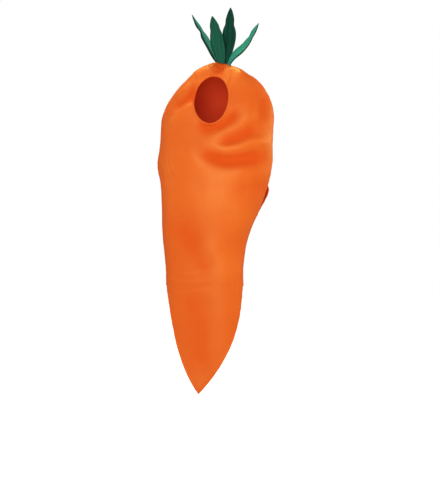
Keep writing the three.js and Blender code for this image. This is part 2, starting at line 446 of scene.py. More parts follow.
# Folds: a path of X and level on the panel, how high it stands, and how far it reaches to each side
Fold = namedtuple("Fold", "height above below path")
FRONT_FOLDS = (
    # the roll across the chest, the cloth that falls back under it and the band under that
    Fold(12, 26, 26, ((-85, 332), (4, 366), (51, 374), (108, 362), (155, 342), (190, 352), (215, 378))),
    Fold(-18, 30, 46, ((-110, 386), (-20, 406), (50, 420), (110, 416), (170, 402), (225, 392))),
    Fold(9, 26, 54, ((-194, 344), (-102, 402), (-19, 444), (59, 464), (136, 456), (230, 436))),
    # the fold from the chest up to the shoulder, and the cloth that falls back below it
    Fold(9, 26, 26, ((-70, 348), (12, 318), (71, 294), (118, 268), (144, 223), (150, 140))),
    Fold(-13, 42, 22, ((-10, 350), (60, 346), (112, 330), (150, 310), (190, 306))),
    # the cloth falls back under the face opening
    Fold(-13, 18, 34, ((-92, 250), (-45, 278), (0, 284), (45, 268), (82, 230), (98, 185))),
    # folds that pull from the face opening to the shoulder
    Fold(-8, 18, 18, ((-116, 84), (-106, 120), (-100, 155), (-98, 195))),
    Fold(9, 22, 30, ((-226, 280), (-165, 231), (-123, 212), (-75, 180))),
    Fold(-11, 32, 28, ((-209, 220), (-150, 182), (-110, 154), (-80, 122))),
    Fold(6, 20, 22, ((-190, 160), (-143, 124), (-100, 90))),
    Fold(-7, 26, 26, ((195, 130), (188, 205), (196, 280))),
    # lobes of the crown on both sides of the leaves, and the cloth that is drawn tight between them
    Fold(12, 22, 24, ((-130, 66), (-75, 40), (-30, 24))),
    Fold(12, 20, 22, ((38, 26), (72, 42), (118, 72))),
    Fold(-12, 16, 46, ((-46, 34), (-6, 32), (36, 34))),
    Fold(-9, 12, 12, ((-14, 8), (0, 16), (6, 26), (-2, 40))),
    # short pleats beside the top of the face opening
    Fold(-3.5, 4, 4, ((58, 40), (59, 62), (57, 92), (54, 125))),
    Fold(-3, 4, 4, ((-104, 48), (-101, 66), (-93, 92))),
    Fold(4, 12, 12, ((50, 16), (76, 34), (104, 55))),
    # the full front above the waist
    Fold(6, 70, 80, ((-190, 500), (-110, 545), (-30, 580), (50, 585), (120, 560))),
    # the waist: a slack hollow across it, the fold that starts at the hip and the slack at the right
    Fold(-8, 60, 60, ((-190, 650), (-148, 706), (-91, 785), (-38, 864), (0, 920))),
    Fold(7, 45, 60, ((-80, 735), (-24, 793), (23, 844), (69, 890), (100, 930))),
    Fold(-5, 40, 40, ((80, 520), (150, 525), (200, 505))),
    Fold(5, 60, 60, ((60, 640), (110, 650), (160, 640))),
    # the flap hangs flat
    Fold(-7, 70, 70, ((-98, 890), (-88, 1000), (-80, 1120), (-70, 1250), (-62, 1360))),
    # fine wrinkles beside the armhole
    Fold(3, 9, 11, ((-226, 405), (-214, 450), (-203, 493))),
    Fold(2.5, 6, 8, ((-206, 392), (-196, 432), (-184, 476))),
    Fold(2.5, 6, 8, ((-240, 425), (-230, 465), (-222, 510))),
    # fine wrinkles across the hips
    Fold(1.6, 8, 12, ((-190, 884), (-120, 894), (-40, 882), (30, 890))),
    Fold(1.8, 8, 11, ((-240, 905), (-180, 926), (-100, 930), (-20, 916))),
    Fold(-1.2, 9, 10, ((-120, 946), (-40, 938), (50, 946), (90, 936))),
    Fold(1.3, 9, 12, ((-230, 965), (-150, 975), (-60, 966), (10, 972))),
)
BACK_FOLDS = (
    Fold(7, 26, 20, ((-190, 300), (-90, 360), (10, 372), (110, 340), (190, 290))),
    Fold(-6, 20, 26, ((-150, 380), (-50, 415), (60, 415), (150, 375))),
    Fold(6, 30, 36, ((-200, 640), (-120, 590), (-30, 580), (60, 600), (140, 650))),
    Fold(-7, 40, 40, ((-160, 700), (-60, 660), (50, 680))),
    Fold(7, 24, 30, ((70, 700), (0, 770), (-90, 840), (-190, 900))),
    Fold(-5, 22, 26, ((60, 790), (-30, 860), (-140, 930))),
    Fold(4, 14, 20, ((60, 930), (-40, 950), (-150, 985))),
    Fold(5, 40, 40, ((-90, 1000), (-84, 1120), (-75, 1220))),
)


def smooth_path(points, count):
    """A smooth line through a few points."""
    points = np.array(points, float)
    padded = np.concatenate([[2 * points[0] - points[1]], points, [2 * points[-1] - points[-2]]])
    line = []
    for place_on in np.linspace(0.0, len(points) - 1.0, count):
        start = min(int(place_on), len(points) - 2)
        t = place_on - start
        a, b, c, d = padded[start : start + 4]
        curve = 2 * b + (c - a) * t + (2 * a - 5 * b + 4 * c - d) * t**2
        line.append((curve + (3 * b - a - 3 * c + d) * t**3) / 2)
    return np.array(line)


FOLD_POINTS = 40
FOLD_ENDS = 0.3  # the share of a fold's length over which each end fades
FOLD_BLEND = 8.0  # keeps that fading smooth inside a bend
ROUND = 2.0
CREASED = 1.4
CREASE_REACH = (20.0, 60.0)  # a hollow that reaches less is a crease, and one that reaches more is round


def fold_height(fold, x, level):
    line = smooth_path(fold.path, FOLD_POINTS)
    distances, shares, sides = [], [], []
    for index, ((px, py), (qx, qy)) in enumerate(zip(line, line[1:])):
        ax, ay = qx - px, qy - py
        share = np.clip(((x - px) * ax + (level - py) * ay) / (ax * ax + ay * ay), 0.0, 1.0)
        dx, dy = x - px - share * ax, level - py - share * ay
        distances.append(np.hypot(dx, dy))
        shares.append((index + share) / (FOLD_POINTS - 1))
        sides.append(ax * dy - ay * dx)
    distances, shares, sides = (np.array(values) for values in (distances, shares, sides))
    nearest = distances.min(axis=0)
    weights = np.exp((nearest - distances) / FOLD_BLEND)
    along = (weights * shares).sum(axis=0) / weights.sum(axis=0)
    side = np.take_along_axis(sides, distances.argmin(axis=0)[None], axis=0)[0]
    below = (side > 0) != (line[-1][0] < line[0][0])
    reach = np.where(below, fold.below, fold.above)
    fade = smoothstep(along, 0.0, FOLD_ENDS) * smoothstep(1.0 - along, 0.0, FOLD_ENDS)
    power = ROUND if fold.height > 0 else CREASED + (ROUND - CREASED) * smoothstep(reach, *CREASE_REACH)
    return fold.height * fade * np.exp(-((nearest / reach) ** power))


# The gathers where the leaves are sewn into the crown
LEAF_ROOT = (5.0, 1.0)
GATHER_REACH = 46.0
GATHER_SPREAD = 18.0
GATHER_SIZE = 0.7
GATHER_COUNT = 7
GATHER_LEVELS = (20.0, 70.0)  # gathers and dimple fade out between these levels
DIMPLE_SIZE = 7.0
DIMPLE_REACH = 24.0
DIMPLE_AT = (-1.0, -26.0)

# The cloth's own unevenness, as lengths and sizes of its waves, and the puckers along its seams
UNEVEN = ((95.0, 2.4), (42.0, 0.8))
PUCKER_SIZE = 1.6
PUCKER_LENGTH = 17.0
PUCKER_SIDE = 7.0  # sets the puckers of the left and the right side apart
PUCKER_ROW = 0.5
PUCKER_REACH = 20.0
SEAM_CALM = 34.0  # folds fade out this close to a sewn seam
RIM_CALM = 10.0  # and this close to a hem


def unevenness(points):
    total = np.zeros(len(points))
    for length, size in UNEVEN:
        total += [size * noise.noise(Vector(p) / length) for p in points]
    return total


def relief(panel, points, level):
    """How far the cloth stands out from the plain form, and how far its folds alone make it."""
    x = points[:, 0]
    total = np.zeros(len(points))
    for fold in FRONT_FOLDS if panel.side == FRONT else BACK_FOLDS:
        total += fold_height(fold, x, level)
    folds = total.copy()
    total += unevenness(points)
    calm = np.where(panel.hemmed, RIM_CALM, SEAM_CALM)
    total *= smoothstep(panel.distance, 0.0, calm)
    puckers = [
        noise.noise(Vector((z / PUCKER_LENGTH, math.copysign(PUCKER_SIDE, px), PUCKER_ROW)))
        for px, z in zip(x, points[:, 2])
    ]
    total += PUCKER_SIZE * np.array(puckers) * bell(panel.distance, PUCKER_REACH)
    from_root = points[:, :2] - np.array(LEAF_ROOT)
    radius = np.hypot(from_root[:, 0], from_root[:, 1])
    turn = np.arctan2(from_root[:, 1], from_root[:, 0])
    top_end, side_start = GATHER_LEVELS
    on_top = smoothstep(-level, -side_start, -top_end)
    in_ring = bell(radius - GATHER_REACH / 2, GATHER_SPREAD)
    total += GATHER_SIZE * np.cos(GATHER_COUNT * turn) * in_ring * on_top
    from_dimple = np.hypot(x - DIMPLE_AT[0], points[:, 1] - DIMPLE_AT[1])
    dimple = DIMPLE_SIZE * bell(from_dimple, DIMPLE_REACH) * on_top
    return total - dimple, folds - dimple


# Painted shade along the folds: the cloth's colour is made darker and redder in the hollows and lighter on
# the ridges, for the shade and the light that cloth throws on cloth; the leaves keep their painted light
# and shade in the same attribute
PAINTED_SHADE_ATTRIBUTE = "painted_shade_mask"
PAINTED_SHADE_RANGE = 13.0
PAINTED_SHADE_SHARE = 0.7


def store_painted_tone(mesh, tones):
    tone = mesh.attributes.new(PAINTED_SHADE_ATTRIBUTE, "FLOAT", "POINT")
    tone.data.foreach_set("value", tones.astype(np.float32))


def half_thickness(distance, hemmed):
    """Half the cloth's thickness: rounded at the edge, thicker in a hem and drawn in at the stitches."""
    half = CLOTH / 2
    near = np.clip(distance / half, 0.0, 1.0)
    rounded = half * np.sqrt(1.0 - (1.0 - near) ** 2)
    past_hem = smoothstep(distance, HEM_WIDTH - HEM_BLEND, HEM_WIDTH + HEM_BLEND)
    swell = HEM_SWELL * smoothstep(distance, 0.0, half) * (1.0 - past_hem)
    groove = STITCH_GROOVE * bell(distance - STITCH_ROW, GROOVE_WIDTH)
    return rounded + hemmed * (swell - groove)


def new_object(name, data):
    piece = bpy.data.objects.new(name, data)
    bpy.context.scene.collection.objects.link(piece)
    return piece


def mesh_from(name, points, faces, smooth=True):
    mesh = bpy.data.meshes.new(name)
    mesh.from_pydata((points * MM).tolist(), [], faces)
    mesh.update()
    if smooth:
        mesh.shade_smooth()
    return mesh


STITCH_LIFT = 0.3  # how far the middle of a hem's stitches stands out from the cloth
SHORTEST_RUN = 4  # points


def line_runs(numbers, points):
    """The unbroken stretches of a stitch line."""
    runs, run = [], []
    for number in [*numbers, NO_POINT]:
        if number != NO_POINT:
            run.append(points[number])
        elif run:
            runs.append(np.array(run))
            run = []
    if len(runs) > 1 and NO_POINT not in (numbers[0], numbers[-1]):
        runs[0] = np.concatenate([runs.pop(), runs[0]])
    elif len(runs) == 1 and NO_POINT not in numbers:
        runs[0] = np.concatenate([runs[0], runs[0][:1]])
    return [r for r in runs if len(r) >= SHORTEST_RUN]


def dress_panel(panel, name, materials):
    """The panel as closed padded cloth, and the lines its hem stitches follow."""
    base, level = place(panel.side, panel.flat)
    triangles = panel.triangles
    normals = vertex_normals(base, triangles)
    if np.mean(normals[:, 1]) * panel.side < 0:
        triangles = triangles[:, ::-1]
        normals = -normals
    stands_out, folds = relief(panel, base, level)
    middle = base + normals * (stands_out - CLOTH / 2)[:, None]
    normals = vertex_normals(middle, triangles)
    half = half_thickness(panel.distance, panel.hemmed)[:, None]
    outer = middle + normals * half
    on_edge = panel.distance < ON_EDGE
    inner_numbers = np.where(on_edge, np.arange(len(outer)), len(outer) + np.cumsum(~on_edge) - 1)
    points = np.concatenate([outer, (middle - normals * half)[~on_edge]])
    lining = inner_numbers[triangles][:, ::-1]
    faces = np.concatenate([triangles, lining])
    mesh = mesh_from(name, points, faces.tolist())
    for material in materials:
        mesh.materials.append(material)
    mesh.polygons.foreach_set("material_index", np.repeat([0, 1], len(triangles)))
    flat = np.concatenate([panel.flat, panel.flat[~on_edge]]) * MM
    uv = mesh.uv_layers.new(name="UVMap")
    uv.data.foreach_set("uv", flat[faces.ravel()].astype(np.float32).ravel())
    # painted shade: fold heights become a tone that is dark in the hollows and light on the ridges
    rise = np.clip(0.5 + folds / (2 * PAINTED_SHADE_RANGE), 0.0, 1.0)
    store_painted_tone(mesh, np.concatenate([rise, rise[~on_edge]]))
    lines = [line_runs(numbers, outer + normals * STITCH_LIFT) for numbers in panel.stitch_lines]
    return new_object(name, mesh), [run for runs in lines for run in runs]


# Leaves, with their roots, middles and tips as the solids have them: across is the way a leaf's width
# runs at its root and tip, fold is how steeply its halves rise, waist is how far it narrows below its tip
# and wave how far its edges swing; the field after seed scales the common green into a lighter copy for a
# leaf that faces the light and a darker one for a leaf in shade, as painted light and shade, and shade is
# how much of its half width is painted in shade
Leaf = namedtuple("Leaf", "name spine across width fold waist wave seed dye shade")
LEAVES = (
    Leaf(
        name="leaf_left",
        spine=((-17, 19, 0), (-70, 16, 98), (-133, 6, 204)),
        across=((0.5, 1, 0.25), (0.2, 1, 0.1)),
        width=58, fold=0.16, waist=0.48, wave=0.05, seed=1.7, dye=(3.7, 2.5, 4.2), shade=0.5,
    ),
    Leaf(
        name="leaf_front",
        spine=((-2, -10, 0), (-20, -18, 100), (-39, -16, 192)),
        across=((1, 0.1, 0), (1, 0.1, 0)),
        width=57, fold=0.14, waist=0.12, wave=0.05, seed=4.1, dye=(1.0, 1.0, 1.0), shade=0.16,
    ),
    Leaf(
        name="leaf_back",
        spine=((14, 6, 0), (28, 11, 118), (36, 5, 228)),
        across=((1, 0.1, 0), (1, 0.1, 0)),
        width=58, fold=0.14, waist=0.2, wave=0.04, seed=7.3, dye=(0.34, 0.43, 0.43), shade=0.16,
    ),
    Leaf(
        name="leaf_right",
        spine=((32, -13, 0), (111, -15, 68), (161, -10, 155)),
        across=((-0.65, 1, 0.95), (-0.55, 1, 0.6)),
        width=58, fold=0.16, waist=0.3, wave=0.05, seed=9.2, dye=(3.3, 3.0, 4.2), shade=0.34,
    ),
)
LEAF_CLOTH = 4.0
LEAF_TIP_WIDTH = 1.4
LEAF_TIP_SHARE = 0.35  # the share of the cloth's thickness that is left at the tip
LEAF_TIP = 0.07  # the share of a leaf over which it thins
LEAF_ROOT_SHARE = 0.14
LEAF_FULLNESS = 0.7
LEAF_WAIST_AT = 0.68
LEAF_WAIST_REACH = 0.075
LEAF_STEPS = 96
LEAF_SPACING = 0.9  # below one, it sets the rings closer towards the tip
LEAF_AROUND = 56
LEAF_SINK = 3.0  # how far a root goes into the crown's cloth
LEAF_ROOT_BEND = 0.2  # the share of a leaf that bends down to its root
LEAF_EDGE_POWER = 0.42
LEAF_SWING_RATE = 11.0
LEAF_SWING_SHIFT = 2.1  # sets the two edges of a leaf apart
LEAF_RIPPLE = 1.8
LEAF_RIPPLE_RATE = 9.0
LEAF_RIPPLE_SHIFTS = (1.3, 3.9)
LEAF_RIPPLE_STARTS = (0.05, 0.35)
LEAF_RIPPLE_ENDS = (0.85, 1.0)
LeafCrease = namedtuple("LeafCrease", "place height width")
LEAF_CREASES = (
    LeafCrease(-0.45, 0.9, 0.13),
    LeafCrease(0.38, -0.8, 0.16),
    LeafCrease(0.7, 0.6, 0.12),
    LeafCrease(0.0, -1.3, 0.07),
)
LEAF_CREASE_START = 0.15
LEAF_WANDER = 0.06  # how far a crease strays
LEAF_WANDER_RATE = 6.0
LEAF_STITCH_AT = 0.84
LEAF_STITCH_LIFT = 0.15
LEAF_STITCH_RINGS = slice(4, -6)
LEAF_SHADE_BLUR = 0.16
CURVE_STEP = 1e-4
CROWN_ROUNDS = 40


def leaf_curve(points, along):
    """The same centripetal curve through three points that the solids use, with its directions."""
    p = [np.array(v, float) for v in points]
    p = [2 * p[0] - p[1], *p, 2 * p[-1] - p[-2]]

    def at(t):
        start = min(int(t * 2), 1)
        a, b, c, d = p[start : start + 4]
        gaps = [math.sqrt(np.linalg.norm(v - u)) for u, v in ((a, b), (b, c), (c, d))]
        leave = ((b - a) / gaps[0] - (c - a) / (gaps[0] + gaps[1]) + (c - b) / gaps[1]) * gaps[1]
        arrive = ((c - b) / gaps[1] - (d - b) / (gaps[1] + gaps[2]) + (d - c) / gaps[2]) * gaps[1]
        w = t * 2 - start
        return (
            b + leave * w
            + (-3 * b + 3 * c - 2 * leave - arrive) * w**2
            + (2 * b - 2 * c + leave + arrive) * w**3
        )

    spine = np.array([at(t) for t in along])
    ahead = np.array([at(min(t + CURVE_STEP, 1.0)) - at(max(t - CURVE_STEP, 0.0)) for t in along])
    return spine, ahead / np.linalg.norm(ahead, axis=1)[:, None]


def leaf_outline(along, waist):
    lance = np.sin(math.pi * (LEAF_ROOT_SHARE + (1 - LEAF_ROOT_SHARE) * along)) ** LEAF_FULLNESS
    return lance * (1.0 - waist * bell(along - LEAF_WAIST_AT, LEAF_WAIST_REACH))


def crown_height(x, y):
    """The height of the crown's outside above a point."""
    low, high = 0.0, CROWN_HEIGHT
    side = FRONT if y < 0 else BACK
    for _ in range(CROWN_ROUNDS):
        level = (low + high) / 2
        middle, half_width, depth = section(side, level)
        if ((x - middle) / half_width) ** 2 + (y / depth) ** 2 > 1:
            low = level
        else:
            high = level
    return CLOTH - level


def leaf_grid(leaf, around):
    """Rings of points along a leaf, for turns round its cross-section, and the way the rings face."""
    along = np.linspace(0.0, 1.0, LEAF_STEPS + 1) ** LEAF_SPACING
    spine, ahead = leaf_curve([(x, y, z + CLOTH) for x, y, z in leaf.spine], along)
    root_way, tip_way = (np.array(way, float) for way in leaf.across)
    side = root_way + (tip_way - root_way) * along[:, None]
    side -= ahead * np.sum(side * ahead, axis=1)[:, None]
    side /= np.linalg.norm(side, axis=1)[:, None]
    face = np.cross(ahead, side)
    breadth = np.maximum(LEAF_TIP_WIDTH, leaf.width * leaf_outline(along, leaf.waist))
    thins = smoothstep(1.0 - along, 0.0, LEAF_TIP)
    cloth = LEAF_CLOTH * (LEAF_TIP_SHARE + (1.0 - LEAF_TIP_SHARE) * thins)
    rippled = smoothstep(along, *LEAF_RIPPLE_STARTS)
    calm_tip = 1.0 - smoothstep(along, *LEAF_RIPPLE_ENDS)
    rings = []
    for turn in around:
        q = math.cos(turn)
        swing = np.sin(along * LEAF_SWING_RATE + leaf.seed + (LEAF_SWING_SHIFT if q > 0 else 0.0))
        reach = q * breadth / 2 * (1.0 + leaf.wave * swing * abs(q))
        lift = np.abs(reach) * leaf.fold
        shift = LEAF_RIPPLE_SHIFTS[0] if q > 0 else LEAF_RIPPLE_SHIFTS[1]
        ripple = LEAF_RIPPLE * q * q * np.sin(along * LEAF_RIPPLE_RATE + leaf.seed * 2 + shift)
        lift = lift + ripple * rippled * calm_tip
        for crease in LEAF_CREASES:
            strays = crease.place + LEAF_WANDER * np.sin(along * LEAF_WANDER_RATE + leaf.seed)
            deep = crease.height * bell(q - strays, crease.width)
            lift = lift + deep * smoothstep(along, 0.0, LEAF_CREASE_START)
        thick = math.copysign(abs(math.sin(turn)) ** LEAF_EDGE_POWER, math.sin(turn))
        lift = lift + thick * cloth / 2
        rings.append(spine + side * reach[:, None] + face * lift[:, None])
    grid = np.stack(rings, axis=1)
    drop = np.array([z - crown_height(x, y) + LEAF_SINK for x, y, z in grid[0]])
    bend = np.maximum(0.0, 1.0 - along / LEAF_ROOT_BEND) ** 2
    grid[:, :, 2] -= bend[:, None] * drop
    return grid, face


def make_leaf(leaf, material):
    around = np.linspace(0.0, 2 * math.pi, LEAF_AROUND, endpoint=False)
    grid, _ = leaf_grid(leaf, around)
    rows, columns, _ = grid.shape
    points = grid.reshape(-1, 3)
    faces = []
    for row in range(rows - 1):
        for column in range(columns):
            beside = (column + 1) % columns
            near, far = row * columns, (row + 1) * columns
            faces.append((near + column, near + beside, far + beside, far + column))
    faces.append(tuple(range(columns))[::-1])
    faces.append(tuple((rows - 1) * columns + c for c in range(columns)))
    mesh = mesh_from(leaf.name + "_cloth", points, faces)
    mesh.materials.append(material)
    # painted shade: the tone is dark over the shaded share of the leaf's half width and light over the
    # rest
    shade_end = leaf.shade - 1.0
    lit = smoothstep(np.cos(around), shade_end - LEAF_SHADE_BLUR, shade_end + LEAF_SHADE_BLUR)
    store_painted_tone(mesh, np.tile(lit, rows))
    lines = []
    for turn in (math.acos(LEAF_STITCH_AT), math.acos(-LEAF_STITCH_AT)):
        for sign in (1, -1):
            line, face = leaf_grid(leaf, [sign * turn])
            lines.append((line[:, 0] + face * sign * LEAF_STITCH_LIFT)[LEAF_STITCH_RINGS])
    return new_object(leaf.name + "_cloth", mesh), lines


# Stitches, set along lines by a node tree
Stitching = namedtuple("Stitching", "pitch length thickness")
HEM_STITCHING = Stitching(pitch=4.2, length=3.0, thickness=0.9)
LEAF_STITCHING = Stitching(pitch=3.4, length=2.4, thickness=0.7)
STITCH_SEGMENTS = 6
STITCH_RINGS = 5
STITCH_RADIUS = 0.5  # a stitch is one metre across until it gets its size


def stitch_tree():
    tree = bpy.data.node_groups.new("stitch_line", "GeometryNodeTree")
    tree.interface.new_socket("Lines", in_out="INPUT", socket_type="NodeSocketGeometry")
    for label in ("Pitch", "Length", "Thickness"):
        tree.interface.new_socket(label, in_out="INPUT", socket_type="NodeSocketFloat")
    tree.interface.new_socket("Thread", in_out="INPUT", socket_type="NodeSocketMaterial")
    tree.interface.new_socket("Stitches", in_out="OUTPUT", socket_type="NodeSocketGeometry")
    nodes, links = tree.nodes, tree.links
    given = nodes.new("NodeGroupInput")
    points = nodes.new("GeometryNodeCurveToPoints")
    points.mode = "LENGTH"
    stitch = nodes.new("GeometryNodeMeshUVSphere")
    stitch.inputs["Segments"].default_value = STITCH_SEGMENTS
    stitch.inputs["Rings"].default_value = STITCH_RINGS
    stitch.inputs["Radius"].default_value = STITCH_RADIUS
    size = nodes.new("ShaderNodeCombineXYZ")
    placed = nodes.new("GeometryNodeInstanceOnPoints")
    real = nodes.new("GeometryNodeRealizeInstances")
    finish = nodes.new("GeometryNodeSetMaterial")
    made = nodes.new("NodeGroupOutput")
    links.new(given.outputs["Lines"], points.inputs["Curve"])
    links.new(given.outputs["Pitch"], points.inputs["Length"])
    links.new(points.outputs["Points"], placed.inputs["Points"])
    links.new(points.outputs["Rotation"], placed.inputs["Rotation"])
    links.new(stitch.outputs["Mesh"], placed.inputs["Instance"])
    for axis, label in (("X", "Thickness"), ("Y", "Thickness"), ("Z", "Length")):
        links.new(given.outputs[label], size.inputs[axis])
    links.new(size.outputs["Vector"], placed.inputs["Scale"])
    links.new(placed.outputs["Instances"], real.inputs["Geometry"])
    links.new(real.outputs["Geometry"], finish.inputs["Geometry"])
    links.new(given.outputs["Thread"], finish.inputs["Material"])
    links.new(finish.outputs["Geometry"], made.inputs["Stitches"])
    return tree


def set_input(modifier, tree, label, value):
    for item in tree.interface.items_tree:
        if item.name == label and item.in_out == "INPUT":
            modifier[item.identifier] = value


def make_stitches(name, lines, tree, thread, stitching):
    curve = bpy.data.curves.new(name + "_lines", "CURVE")
    curve.dimensions = "3D"
    for line in lines:
        spline = curve.splines.new("POLY")
        spline.points.add(len(line) - 1)
        for point, place_on in zip(spline.points, line * MM):
            point.co = (*place_on, 1.0)
    guide = new_object(name + "_lines", curve)
    modifier = guide.modifiers.new("stitches", "NODES")
    modifier.node_group = tree
    set_input(modifier, tree, "Pitch", stitching.pitch * MM)
    set_input(modifier, tree, "Length", stitching.length * MM)
    set_input(modifier, tree, "Thickness", stitching.thickness * MM)
    set_input(modifier, tree, "Thread", thread)
    graph = bpy.context.evaluated_depsgraph_get()
    mesh = bpy.data.meshes.new_from_object(guide.evaluated_get(graph))
    mesh.name = name
    mesh.shade_smooth()
    bpy.data.objects.remove(guide)
    return new_object(name, mesh)


# Materials: dark and light are the two ends of a cloth's colour, between which its random mottle runs;
# where a cloth paints shade they are also painted shade in the hollows and on the shaded half of a leaf,
# and painted light on the ridges and the lit half of a leaf;
# rough is for the hollows, the plain cloth and the ridges, and the knit's sizes are in metres
Cloth = namedtuple(
    "Cloth",
    "name dark light rough sheen uses_uv bump shine shine_tint follows_folds",
    defaults=(0.0, True, 0.12, 0.25, WHITE, False),
)
# painted shade and light: dark is the colour painted into the fold hollows and light the colour painted
# onto the ridges
ORANGE_CLOTH = Cloth(
    name="orange_cloth",
    dark=(0.82, 0.075, 0.004),
    light=(0.92, 0.136, 0.014),
    rough=(0.95, 0.56, 0.48),
    shine=0.9,
    shine_tint=(1.0, 0.85, 0.28),
    follows_folds=True,
)
ORANGE_LINING = Cloth(
    name="orange_lining",
    dark=(0.85, 0.05, 0.008),
    light=(0.93, 0.066, 0.011),
    rough=(0.7, 0.77, 0.85),
    bump=0.0,
)
ORANGE_THREAD = Cloth(
    name="orange_thread",
    dark=(0.62, 0.09, 0.01),
    light=(0.78, 0.13, 0.018),
    rough=(0.4, 0.45, 0.5),
    sheen=0.2,
    uses_uv=False,
)
# painted shade and light: dark is painted on the shaded half of each leaf and light on its lit half
GREEN_CLOTH = Cloth(
    name="green",
    dark=(0.003, 0.025, 0.015),
    light=(0.011, 0.092, 0.054),
    rough=(0.7, 0.55, 0.5),
    sheen=0.05,
    uses_uv=False,
    shine=0.2,
    shine_tint=(0.3, 1.0, 0.75),
    follows_folds=True,
)
GREEN_THREAD = Cloth(
    name="green_thread",
    dark=(0.012, 0.075, 0.045),
    light=(0.02, 0.13, 0.08),
    rough=(0.4, 0.45, 0.5),
    sheen=0.2,
    uses_uv=False,
)
SHADE_AND_DYE_STOPS = (0.25, 0.75)
ROUGH_STOPS = (0.25, 0.5, 0.75)
SHEEN_ROUGHNESS = 0.45
KNIT_RIB = 0.0012
KNIT_COURSE = 0.0016
KNIT_DEPTH = 0.0006
COURSE_SHARE = 0.25
MOTTLE_SLOW = 7.0
MOTTLE_FINE = 160.0
MOTTLE_SHARES = {"Slow": 0.65, "Fine": 0.35}
MOTTLE_DETAIL = 3.0


def math_node(tree, operation, first, second=None):
    node = tree.nodes.new("ShaderNodeMath")
    node.operation = operation
    for socket, value in zip(node.inputs, (first, second)):
        if isinstance(value, (int, float)):
            socket.default_value = value
        elif value is not None:
            tree.links.new(value, socket)
    return node.outputs["Value"]


def knit_group():
    """Fine ribs and courses of a knitted face, following the cloth."""
    tree = bpy.data.node_groups.new("knit_face", "ShaderNodeTree")
    tree.interface.new_socket("Flat", in_out="INPUT", socket_type="NodeSocketVector")
    for label in ("Rib", "Course"):
        tree.interface.new_socket(label, in_out="INPUT", socket_type="NodeSocketFloat")
    tree.interface.new_socket("Height", in_out="OUTPUT", socket_type="NodeSocketFloat")
    given = tree.nodes.new("NodeGroupInput")
    made = tree.nodes.new("NodeGroupOutput")
    parts = tree.nodes.new("ShaderNodeSeparateXYZ")
    tree.links.new(given.outputs["Flat"], parts.inputs["Vector"])
    rib = math_node(tree, "DIVIDE", parts.outputs["X"], given.outputs["Rib"])
    rib = math_node(tree, "MULTIPLY", rib, math.pi)
    rib = math_node(tree, "ABSOLUTE", math_node(tree, "SINE", rib))
    course = math_node(tree, "DIVIDE", parts.outputs["Y"], given.outputs["Course"])
    course = math_node(tree, "SINE", math_node(tree, "MULTIPLY", course, 2 * math.pi))
    course = math_node(tree, "MULTIPLY", course, COURSE_SHARE)
    tree.links.new(math_node(tree, "ADD", rib, course), made.inputs["Height"])
    return tree


def mottle_group():
    """Uneven dye and nap: slow and fine noise round one half."""
    tree = bpy.data.node_groups.new("dye_mottle", "ShaderNodeTree")
    for label in MOTTLE_SHARES:
        tree.interface.new_socket(label, in_out="INPUT", socket_type="NodeSocketFloat")
    tree.interface.new_socket("Mottle", in_out="OUTPUT", socket_type="NodeSocketFloat")
    given = tree.nodes.new("NodeGroupInput")
    made = tree.nodes.new("NodeGroupOutput")
    where = tree.nodes.new("ShaderNodeTexCoord")
    layers = []
    for label, share in MOTTLE_SHARES.items():
        layer = tree.nodes.new("ShaderNodeTexNoise")
        layer.inputs["Detail"].default_value = MOTTLE_DETAIL
        tree.links.new(where.outputs["Object"], layer.inputs["Vector"])
        tree.links.new(given.outputs[label], layer.inputs["Scale"])
        layers.append(math_node(tree, "MULTIPLY", layer.outputs["Fac"], share))
    tree.links.new(math_node(tree, "ADD", *layers), made.inputs["Mottle"])
    return tree


def add_group(tree, group, **values):
    node = tree.nodes.new("ShaderNodeGroup")
    node.node_tree = group
    for label, value in values.items():
        node.inputs[label].default_value = value
    return node


def ramp(tree, factor, stops):
    node = tree.nodes.new("ShaderNodeValToRGB")
    tree.links.new(factor, node.inputs["Fac"])
    elements = node.color_ramp.elements
    while len(elements) < len(stops):
        elements.new(0.5)
    for element, (position, color) in zip(elements, stops):
        element.position = position
        element.color = (*color, 1.0)
    return node.outputs["Color"]


